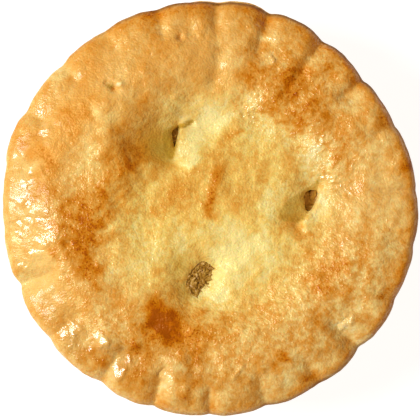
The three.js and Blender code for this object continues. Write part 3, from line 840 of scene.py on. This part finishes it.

# Toasted and pale patches: place, radius, and how much browner the pastry is there. Besides real toasting,
# some are painted light, paler, and some painted shade, browner
LID_TOAST = 0.4
TOASTS_AND_SHADES = [
    # The sunken middle
    (2, 4, 26, -0.07), (-7, 16, 5, -0.44), (2, 17, 4, 0.1), (-15, 12, 3.5, 0.08), (-4, 11.7, 3.5, 0.15),
    (0, 9, 3, -0.05), (16, 8, 7, -0.08), (-18, 6, 4, -0.12), (-18, 3, 4, 0.05), (-9, 5, 4, 0.08),
    (-1, 4, 3, 0.07), (17, 2, 4.5, -0.2), (-1.5, -1, 2.8, 0.2), (-15.5, -4, 4.8, -0.11),
    (3.4, -5.2, 4.2, -0.25), (19, -6, 4, 0.05), (-8, -8, 6, -0.2), (12, -9, 6, -0.26), (5, -14, 5.5, -0.36),
    (-1, -16, 3.5, -0.07),
    # The ring, from the right round through the top and the left
    (21.5, -4.5, 2.5, 0.08), (26.5, -5.5, 2.2, 0.16), (28.7, -2.8, 3.7, -0.36), (25, 6.2, 3.8, -0.08),
    (34, 3, 4, -0.26), (37, 4, 3.5, 0.08), (39, 6, 2.5, -0.06), (33, 8, 3, -0.1), (36, 13, 3, 0.08),
    (35, -2, 4, -0.06), (41, -4, 6, -0.14), (36, -7, 3, 0.12), (38, -14, 3, -0.06), (15, 22, 6, -0.2),
    (20, 22, 3, -0.08), (19, 29, 3, 0.12), (22, 34, 3.4, 0.32), (26, 32, 3, -0.1), (25, 33, 8, 0.03),
    (25, 25.5, 3.5, 0.18), (28, 27, 3, -0.12), (31, 27, 4, 0.18), (31, 20, 4, 0.05), (30, 16, 5, -0.32),
    (25, 13, 4, -0.08), (38, 17, 4, 0.1), (-6, 22, 4, -0.07), (-9, 25, 4, -0.14), (1.2, 25.4, 6, -0.44),
    (8.5, 26.5, 3, 0.1), (10.3, 29.4, 4, -0.14), (-10, 32, 5, -0.08), (0, 34, 4, -0.08), (0, 38, 3.5, 0.11),
    (-9, 38, 3, 0.04), (12.4, 39.1, 4.2, 0.165), (5, 41, 5, -0.075), (-13, 26, 4, -0.08),
    (-19, 30, 2.5, 0.1), (-18.5, 14.5, 3.6, 0.14), (-22, 12.1, 3.1, -0.18), (-24.5, 12, 3.2, 0.24),
    (-22.5, 16.2, 4, 0.12), (-21, 22, 5, 0.16), (-22, 24, 3, -0.08), (-27, 25, 4, 0.06),
    (-31, 26, 4, -0.14), (-27.8, 15.6, 4.6, 0.115), (-35, 16, 4, -0.12), (-24, 5, 4, 0.05),
    (-30, 6, 2.5, -0.12), (-31, 3.5, 2.5, 0.2), (-34, 3, 5, 0.06), (-37, 6.5, 3, 0.16), (-38, 8, 4, -0.1),
    (-42.8, 4, 4, -0.12), (-36.5, 0, 3, 0.24), (-40.5, -2, 3, 0.22), (-36, -3.5, 3, -0.12),
    (-33, -4, 4, 0.34), (-25.6, -5.4, 3.8, -0.17), (-38, -9, 4, 0.3), (-40, -11, 3, -0.14),
    (-36, -13.9, 3.5, 0.28), (-34.5, -20, 3.2, 0.32), (-26, -17, 5, -0.1), (-18, -14, 7, -0.22),
    (-18, -26, 4, -0.08), (-17, -29, 3.5, 0.2), (-14.2, -32, 4.4, 0.68), (-13, -38, 2.5, -0.08),
    (-10, -37, 3, 0.38), (-5.2, -33, 4.2, 0.15), (-4.4, -37, 3.3, 0.19), (1, -25, 5, -0.4),
    (4, -32, 3.5, 0.08), (8.5, -28, 4.2, -0.09), (10, -35, 6, -0.1), (11, -35, 2.5, 0.06),
    (9, -19, 5, -0.2), (19, -14, 6, -0.24), (21, -20, 4, -0.05), (22, -24, 7, -0.1), (25, -27, 4, 0.06),
    (25.6, -13, 4, -0.055), (25.8, -16.8, 3.4, 0.13), (30.3, -19.4, 3.2, -0.12), (31, -22.3, 3, 0.26),
    (36.7, -17.7, 4.7, 0.23),
    # The rim, from the right round through the top and the left
    (43, 6, 3, 0.06), (46, 12, 4, 0.08), (47.8, 8, 7.6, -0.135), (48, 2, 8, 0.04), (50, -3, 7, -0.09),
    (44.4, -8, 4, 0.14), (56.4, 4.9, 3.1, -0.105), (56.5, 13, 2, 0.22), (55, 15, 4, 0.05),
    (18, 43, 3, -0.1), (23.6, 41.4, 2.7, 0.16), (26.2, 38.8, 4.8, 0.15), (28.9, 41, 3.2, -0.165),
    (29, 46, 3, 0.08), (33, 33, 3, 0.1), (33, 40, 7, 0.1), (33, 43, 4, 0.06), (36, 33, 4, -0.12),
    (41.5, 37.3, 4, 0.16), (41.5, 31.5, 2.5, -0.18), (42, 29, 5, -0.08), (39, 27, 3, -0.06),
    (40, 25, 6, 0.14), (46, 26, 4, 0.05), (45, 22, 7, -0.08), (49.5, 25, 2.5, 0.16), (-17, 55, 2.5, 0.2),
    (-13, 54, 4, -0.05), (-15, 47, 5, 0.06), (7.4, 45.8, 3.8, -0.07), (12, 46.3, 3.2, 0.15),
    (18, 49.3, 2.4, -0.215), (14.5, 54, 3, 0.16), (20, 55, 3, -0.06), (-25, 36, 4, -0.08),
    (-38, 39, 4.7, 0.14), (-38.5, 39, 2, -0.2), (-44.2, 39.2, 4.2, -0.24), (-36, 29, 4, 0.12),
    (-40, 24.2, 3.9, 0.14), (-47, 23, 3, -0.05), (-52, 20, 5, 0.1), (-49, 15, 4, 0.125),
    (-46, 13.5, 4.2, 0.19), (-48, 14, 7, -0.05), (-52.3, 11.8, 4.2, -0.175), (-48, 8, 4, -0.05),
    (-46, 6, 4, 0.12), (-49, 5, 4, 0.1), (-52, 4, 4, 0.08), (-56, 2, 5, -0.08), (-51, -2, 5, -0.14),
    (-46.5, -4.5, 4.4, 0.145), (-48, -11, 4, -0.08), (-43.5, -11.5, 1.8, 0.24), (-56.5, -11.5, 5, -0.12),
    (-52, -18, 5, -0.09), (-50, -22, 6, -0.08), (-40, -23, 5, -0.06), (-42, -35, 2.5, 0.08),
    (-39, -33, 4, -0.05), (-40, -38, 3, -0.06), (-36.5, -38, 3, 0.12), (-32.4, -38.3, 3.2, -0.18),
    (-29.8, -32.7, 5.4, -0.16), (-29.5, -35.5, 1.6, 0.2), (-34, -44, 3.5, 0.12), (-32.8, -47, 4.2, -0.155),
    (-31, -42.5, 3.2, 0.2), (-27.4, -44.6, 3.7, -0.195), (-25, -44, 4, 0.08), (-24, -49, 4, 0.1),
    (-22, -39, 3.5, 0.14), (-20, -46, 4, 0.1), (-18, -40, 4, 0.14), (-20, -52, 5, -0.1),
    (-17, -52, 4, 0.16), (-13, -50, 2, -0.12), (-12, -48, 4, -0.14), (-11, -42.3, 3, 0.15),
    (-6, -56, 5, -0.06), (-6, -52.2, 3.5, 0.23), (-5, -48, 3, 0.1), (-5, -43, 3.5, 0.16), (0, -48, 3, -0.1),
    (2, -56.5, 3.4, -0.07), (5, -43, 3.5, -0.1), (10, -42, 4, 0.1), (14, -54, 3.6, 0.085),
    (19, -51.9, 4.8, -0.21), (20, -43, 2.2, 0.24), (27, -41.2, 4.4, -0.165), (29, -49, 2, 0.22),
    (30, -45, 4, 0.08), (34.3, -47.3, 4, -0.2), (32, -33, 2.5, 0.14), (40, -40, 2.5, 0.1),
    (44, -38, 3.5, -0.16), (39, -33, 2.8, -0.22), (44, -28, 4.4, -0.115), (42, -18, 5, -0.12),
    (48, -25, 2, 0.18), (48.5, -24.5, 1.4, 0.3),
]
TOAST_STREAKS = [
    ((2.9, 13), (-1, -2), 1.6, 0.26), ((3.4, 19.8), (10.4, 22.8), 1.1, 0.22),
    ((-1.2, 8.5), (-3.6, -9), 1.3, -0.12), ((-26.4, 36.2), (-26, 35.2), 1, -0.4),
]
# Blisters and flecks brown the crust only where it is toasted more than this
BLISTER_TOAST = 0.2
FLECK_TOAST = 0.3
# Where the edge of the rim is browner: browning together with painted shade on the right, top and bottom of
# the rim, which turn away from the light from the left. Angle, spread, and how much. Close to the edge a dark
# painted shade is laid on as well.
RIM_BROWNING_AND_SHADE = [(45, 45, 0.24), (345, 35, 0.14), (300, 25, 0.14), (100, 25, 0.18), (265, 20, 0.08)]
RIM_ROUND = 0.5
EDGE_SHADE = 3
SHADED_EDGE = (0.3, 1.2)
# A pinch is paler than the rim. Its right flank, which faces the light, is painted paler as painted light,
# and its left flank browner as painted shade
PINCH_PALER = 0.05
FLANK_LIGHT_AND_SHADE = 0.12
# Darker and duller places, mostly painted shade where the lid is made to look darker, with some dull
# scorching: place, radius, and amount
SHADES_AND_SCORCHES = [
    # The middle and the ring
    (-2, -8, 4, 0.04), (7.5, -7, 3, 0.05), (0.5, 8, 2.5, 0.05), (19.5, 5, 4, 0.08), (32, 7, 2, 0.06),
    (28, 14, 3, 0.1), (8, 27, 3, 0.06), (-6.5, 26, 3.5, 0.2), (-7.8, 24, 1.3, 0.16), (-11.4, 19, 1.8, 0.2),
    (-17, 33, 4, 0.06), (-27, 13, 3, 0.1), (-10, -26, 3, 0.05),
    # The rim, from the top round through the left
    (0, 55, 8, 0.04), (-29, 40, 5, 0.11), (-42, 32, 8, 0.06), (-54, 18, 5, 0.06), (-52, 8, 7, 0.05),
    (-51, 1, 8, 0.09), (-50, -22, 6, 0.05), (-45, -29, 4, 0.14), (-40, -38, 5, 0.13), (-36, -41, 5, 0.1),
    (-25, -45, 7, 0.15), (-13, -49, 5, 0.06), (-12, -42, 3, 0.08), (-4, -47, 3, 0.18), (-5, -57, 4, 0.1),
    (5, -53, 5, 0.05), (16, -54, 5, 0.2), (30, -48, 6, 0.08), (34, -34, 3, 0.05), (38, -38, 7, 0.06),
    (38, -42, 4, 0.06),
]
SHADE_AND_SCORCH_LIMIT = 0.8
# Where gravy and melted cheese dampened the pastry round the vents, also painted shade in the dips and the
# crease by the vents and in a prick of the docker: spots, streaks, and outlined pools
DAMP_AND_SHADE_SPOTS = [(-15, 18.5, 5, 0.75), (-12, 15, 3, 0.5), (-8.5, -16, 3.5, 0.5), (-7, -24, 3, 0.4)]
DAMP_AND_SHADE_STREAKS = [((31, 7), (31.7, 10), 0.7, 0.5), ((-29.6, 35.8), (-27.8, 34.6), 0.9, 0.7)]
DAMP_AND_SHADE_POOLS = [
    (
        [
            (31.2, 8.1), (31, 4.5), (29, 0.1), (27.4, -2.6), (26, -3.9), (23.2, -3.9), (20.4, -3.3),
            (19.9, -1.3), (21.8, 1.6), (24.4, 3.9), (27, 5.1), (30.2, 7.4),
        ],
        0.56,
    ),
    ([(-10, 22.8), (-9, 24.1), (-7.2, 25.1), (-5, 25.6), (-4.8, 24.8), (-6.6, 23.6), (-9.2, 22.9)], 1),
    ([(-13.2, 22.6), (-9.4, 23.6), (-9.2, 21), (-10.1, 16), (-11.4, 14.2), (-13.2, 17)], 0.5),
]
POOL_EDGE = 0.3
# Where the egg lay thick or thin: place, radius, and amount
GLAZES = [
    (-41, -36, 3, 0.8), (-43, -33.5, 2, 0.7), (18, 43, 2, 1), (12.5, 28.5, 3.2, 1), (11, 25.5, 2.5, 0.7),
    (27, 22, 3, 0.9), (31, 18, 3, 1), (33.5, 14, 3, 1), (36.5, 10, 3, 0.9), (38.5, 5.5, 3, 0.8),
    (42, 3, 3, 0.4), (-47, 22, 1.5, 0.8), (-49.7, 27.3, 1.6, 0.7), (-39, 39, 2, 0.6), (40, -34, 2, 0.7),
    (-6, 24, 2, 0.6), (-40, 28, 8, -0.5), (-44, 16, 5, -0.5), (-51.5, 17, 4.5, -0.6), (-33, 26, 6, -0.5),
    (-28, 40, 7, -0.4), (31, -1, 4, -0.5), (-7, 12, 4, -0.4), (-48.5, 8, 4.5, -0.5),
    (-50.5, 12.5, 2.5, -0.4), (3.2, -18.5, 3.5, -0.6),
]
LID_GLAZE = 0.28
GLAZE_SHARE = 0.5
DAB_GLAZE = 0.75
# The egg ends short of the edge, between these distances, and is baked dull between these toastings
BARE_EDGE = (0.4, 1.6)
DULL_TOAST = (0.6, 0.8)
BUTTER_FADE = (20, RING_RADIUS + 4)
# Where the pastry is more or less mottled than elsewhere: place, radius, and amount
SPECKLES = [
    # The middle and the ring
    (2, 6, 12, -0.2), (6, -14, 9, -0.4), (2, -18, 6, -0.25), (22, -3, 3, 0.3), (23.5, -1, 4, -0.2),
    (33, -1, 4, -0.4), (33, 15.2, 6.5, 0.8), (25, 25, 5, 0.3), (26, 33, 9, 0.5), (12, 28, 5, 0.5),
    (15, 28, 5, 0.2), (0, 26, 8, -0.2), (4, 38, 5, -0.3), (0, 42, 8, -0.3), (-15, 19, 5, -0.4),
    (-36, -6, 10, 0.4), (-12, -30, 6, 0.2), (-12, -34, 6, -0.3), (2, -40, 12, 0.3), (30, -25, 12, 0.3),
    # The rim, from the right round through the top and the left
    (50, 5, 9, -0.3), (-5, 48, 12, -0.35), (-30, 36, 15, -0.45), (-35, 42, 8, -0.15), (-40, 24, 8, -0.35),
    (-48, 18, 6, -0.2), (-50, 16, 8, -0.5), (-54, 0, 9, -0.6), (-48, -14, 5, -0.4), (-50, -25, 9, -0.4),
    (-45, -25, 7, -0.3), (-41, -36.5, 4, -0.4), (-32.5, -38.5, 3, -0.7), (-28, -37, 7, 0.3),
    (-25.8, -45.5, 3.5, -0.6), (-13, -47.5, 3, -0.4), (-12, -44, 6, 0.3), (-10, -48, 8, -0.2),
    (25, -37, 8, 0.25), (41.2, -18.8, 8.7, 0.49), (48, -8, 6, 0.15),
]
LID_SPECKLE = 0.75
SPECKLE_LIMITS = (0.1, 2)
DAB_SMOOTHING = 0.5
# How far patches are pushed to and fro, so that they come out ragged, and how bent those waves are
RAGGED_REACH = 1.3
RAGGED_BEND = 1.5


def ragged(along, across, wave, bend, start):
    """A coordinate pushed to and fro along waves that are bent themselves."""
    return along + RAGGED_REACH * np.sin(wave * across + RAGGED_BEND * np.sin(bend * along + start))


def pools_of(pools, x, y):
    """The amount of each outlined pool inside its outline, with a soft edge."""
    total = np.zeros_like(x)
    for outline, amount in pools:
        line = rounded(outline)
        near = np.full_like(x, np.inf)
        crossings = np.zeros(len(x), int)
        for (from_x, from_y), (to_x, to_y) in zip(line, np.roll(line, -1, axis=0)):
            near = np.minimum(near, np.hypot(x - from_x, y - from_y))
            if from_y != to_y:
                spans = (from_y > y) != (to_y > y)
                crossings += spans & (x < from_x + (to_x - from_x) * (y - from_y) / (to_y - from_y))
        depth = np.where(crossings % 2 == 1, near, -near)
        total += amount * smoothstep(-POOL_EDGE, POOL_EDGE, depth)
    return total


lid_places = places_of(lid)
lid_x, lid_y = lid_places[:, 0], lid_places[:, 1]
lid_radius = np.hypot(lid_x, lid_y)
lid_angle = np.degrees(np.arctan2(lid_y, lid_x))
ragged_x = ragged(lid_x, lid_y, wave=0.9, bend=0.55, start=0)
ragged_y = ragged(lid_y, lid_x, wave=0.8, bend=0.6, start=2)
# Toasting, with painted light and shade among its patches
lid_toast_and_shade = LID_TOAST + spread_of(TOASTS_AND_SHADES, ragged_x, ragged_y) + streaks_of(TOAST_STREAKS, lid_x, lid_y)
browned = np.clip(lid_toast_and_shade, 0, 1)
lid_toast_and_shade += np.maximum(browned - BLISTER_TOAST, 0) * spread_of(blisters, lid_x, lid_y)
lid_toast_and_shade += np.maximum(browned - FLECK_TOAST, 0) * spread_of(flecks, lid_x, lid_y)
at_edge = smoothstep(RIM_RADIUS - LIP_WIDTH, RIM_RADIUS - RIM_ROUND, lid_radius)
to_edge = RIM_RADIUS + rim_push(lid_angle, RIM_LOBES) - lid_radius
# Painted shade and scorching
lid_shade_and_scorch = spread_of(SHADES_AND_SCORCHES, ragged_x, ragged_y)
# Browning and painted shade round the rim, with a dark painted shade close to its edge
for at, spread, amount in RIM_BROWNING_AND_SHADE:
    browning_and_shade = amount * np.exp(-((turn_between(lid_angle, at) / spread) ** 2))
    lid_toast_and_shade += browning_and_shade * at_edge
    lid_shade_and_scorch += EDGE_SHADE * browning_and_shade * (1 - smoothstep(*SHADED_EDGE, to_edge))
for at, strength, reach, width in PINCHES:
    in_band = smoothstep(reach, RIM_RADIUS - LIP_WIDTH, lid_radius)
    away = turn_between(lid_angle, at)
    # Painted light on the flank that faces the light, painted shade on the other
    flank_light = np.clip(-away / width * math.sin(math.radians(at)), -1, 1)
    pale_and_lit = PINCH_PALER + FLANK_LIGHT_AND_SHADE * flank_light
    lid_toast_and_shade -= pale_and_lit * strength * in_band * pinch_profile(away, width)
dabbed = np.zeros_like(lid_x)
for flat_x, flat_y, flat_width, _ in flats:
    dabbed = np.maximum(dabbed, flat_share(flat_x, flat_y, GLOSS_REACH * flat_width, lid_x, lid_y))
lid_glaze = LID_GLAZE + GLAZE_SHARE * spread_of(GLAZES, ragged_x, ragged_y) + DAB_GLAZE * dabbed
lid_glaze = np.clip(lid_glaze, 0, 1) * smoothstep(*BARE_EDGE, to_edge)
lid_glaze *= 1 - smoothstep(*DULL_TOAST, lid_toast_and_shade)
# Damp olive, partly painted shade in the dips and creases round the vents
lid_damp_and_shade = spread_of(DAMP_AND_SHADE_SPOTS, lid_x, lid_y) + streaks_of(DAMP_AND_SHADE_STREAKS, lid_x, lid_y)
lid_damp_and_shade += pools_of(DAMP_AND_SHADE_POOLS, lid_x, lid_y)
lid_speckle = np.clip(LID_SPECKLE + spread_of(SPECKLES, lid_x, lid_y), *SPECKLE_LIMITS)
# The lid's toast, damp and scorch layers hold painted light and shade as well as the pastry's own colours
paint(lid, "toast", lid_toast_and_shade)
paint(lid, "glaze", lid_glaze)
paint(lid, "butter", 1 - smoothstep(*BUTTER_FADE, lid_radius))
paint(lid, "damp_and_shade", np.clip(lid_damp_and_shade, 0, 1))
paint(lid, "shade_and_scorch", np.clip(lid_shade_and_scorch, 0, SHADE_AND_SCORCH_LIMIT))
paint(lid, "speckle", lid_speckle * (1 - DAB_SMOOTHING * dabbed))
lid.data.materials.append(pastry)
select_only(lid)
bpy.ops.object.shade_smooth_by_angle(angle=math.radians(VENT_EDGE_ANGLE))
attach(lid, "root")
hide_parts("crust")


# Risen mince: shreds of the filling that boiled up into the vents while the pie baked, and stuck there.
# Each is a small lumpy strand, and all of them are one piece.
GOLDEN_ANGLE = math.pi * (3 - math.sqrt(5))
# For each heap: its middle, half its length and width, the way it lies, the number and size of its shreds,
# and how far below the lid they lie
RISEN = [
    dict(x=-10.4, y=20.4, half=3.2, half_width=1.4, turn=80, count=10, size=1.8, sunk=1.9),
    dict(x=29, y=2.4, half=3.8, half_width=2.4, turn=62, count=14, size=2.8, sunk=2.7),
    dict(x=-3.6, y=-20, half=5.2, half_width=3.1, turn=62, count=70, size=1.5, sunk=0.45),
    dict(x=-3.6, y=-20, half=5.7, half_width=3.3, turn=62, count=130, size=1.05, sunk=0.1),
]
SHRED_LENGTH = 1.4
SHRED_THICKNESS = 0.37
SHRED_FLATNESS = 0.5
LENGTH_SHARES = (0.6, 1.4)
THICKNESS_SHARES = (0.7, 1.4)
SHRED_TILT = 0.5
SHRED_SINK = 0.35
draws = np.random.default_rng(7)
shreds = []
for heap in RISEN:
    lie = math.radians(heap["turn"])
    for i in range(heap["count"]):
        out = math.sqrt((i + 0.5) / heap["count"])
        along = out * heap["half"] * math.cos(i * GOLDEN_ANGLE)
        across = out * heap["half_width"] * math.sin(i * GOLDEN_ANGLE)
        shred_x = heap["x"] + along * math.cos(lie) - across * math.sin(lie)
        shred_y = heap["y"] + along * math.sin(lie) + across * math.cos(lie)
        level = lid_top(np.array([shred_x, heap["x"]]), np.array([shred_y, heap["y"]])).min() - heap["sunk"]
        bpy.ops.object.select_all(action="DESELECT")
        bpy.ops.mesh.primitive_ico_sphere_add(subdivisions=3, radius=MM)
        shred = bpy.context.object
        length = heap["size"] * SHRED_LENGTH * draws.uniform(*LENGTH_SHARES)
        thickness = heap["size"] * SHRED_THICKNESS * draws.uniform(*THICKNESS_SHARES)
        shred.scale = (length, thickness, SHRED_FLATNESS * thickness)
        shred.rotation_euler = (0, draws.uniform(-SHRED_TILT, SHRED_TILT), draws.uniform(0, math.pi))
        shred.location = (shred_x * MM, shred_y * MM, (level - draws.uniform(0, SHRED_SINK)) * MM)
        bpy.ops.object.transform_apply(location=True, rotation=True, scale=True)
        shreds.append(shred)
risen = shreds[0]
select_only(risen)
for shred in shreds:
    shred.select_set(True)
bpy.ops.object.join()
risen.name = risen.data.name = "risen_mince"
knead(risen, "shred_lumps", size=0.7, depth=0.45, detail=2)
risen.data.materials.append(mince)
bpy.ops.object.shade_smooth()
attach(risen, "root")
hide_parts("mince_filling")


# Floor: a plain white light table under the pie, only to stand it on. It is lit a little from below,
# so that the shadow on it stays faint.
FLOOR_SIZE = 4
FLOOR_GLOW = 0.9
bpy.ops.object.select_all(action="DESELECT")
bpy.ops.mesh.primitive_plane_add(size=FLOOR_SIZE)
floor = bpy.context.object
floor.name = floor.data.name = "floor"
acrylic, tree, shader = new_material("white_acrylic_light_table")
set_sockets(shader, {
    "Base Color": linear("#909090"), "Roughness": 0.9, "Emission Color": linear("#FFFFFF"),
    "Emission Strength": FLOOR_GLOW,
})
floor.data.materials.append(acrylic)


# Light and camera: one soft square panel from the left that faces the pie and an even pale room, seen
# from straight above. Distances are in metres.
PANEL_AZIMUTH = math.radians(174)
PANEL_ELEVATION = math.radians(47)
PANEL_DISTANCE = 2.4
PANEL_SIZE = 0.76
PANEL_POWER = 52
ROOM_LIGHT = 0.32
lamp = bpy.data.lights.new("window_panel", "AREA")
lamp.size = PANEL_SIZE
lamp.energy = PANEL_POWER
panel = bpy.data.objects.new("window_panel", lamp)
bpy.context.scene.collection.objects.link(panel)
panel.location = (
    PANEL_DISTANCE * math.cos(PANEL_ELEVATION) * math.cos(PANEL_AZIMUTH),
    PANEL_DISTANCE * math.cos(PANEL_ELEVATION) * math.sin(PANEL_AZIMUTH),
    PANEL_DISTANCE * math.sin(PANEL_ELEVATION),
)
panel.rotation_euler = (math.pi / 2 - PANEL_ELEVATION, 0, PANEL_AZIMUTH + math.pi / 2)
room = bpy.data.worlds.new("pale_room")
bpy.context.scene.world = room
room.use_nodes = True
set_sockets(room.node_tree.nodes["Background"], {"Color": linear("#FFE6C0"), "Strength": ROOM_LIGHT})
bpy.context.scene.view_settings.view_transform = "Standard"

# The photograph's width in pixels, and the size of a pixel at the height of the rim
PHOTO_WIDTH = 420
PIXEL = 0.2887
CAMERA_HEIGHT = 0.9
lens = bpy.data.cameras.new("camera")
lens.lens = lens.sensor_width * (CAMERA_HEIGHT - RIM_TOP * MM) / (PHOTO_WIDTH * PIXEL * MM)
camera = bpy.data.objects.new("camera", lens)
bpy.context.scene.collection.objects.link(camera)
camera.location = (0, 0, CAMERA_HEIGHT)
bpy.context.scene.camera = camera
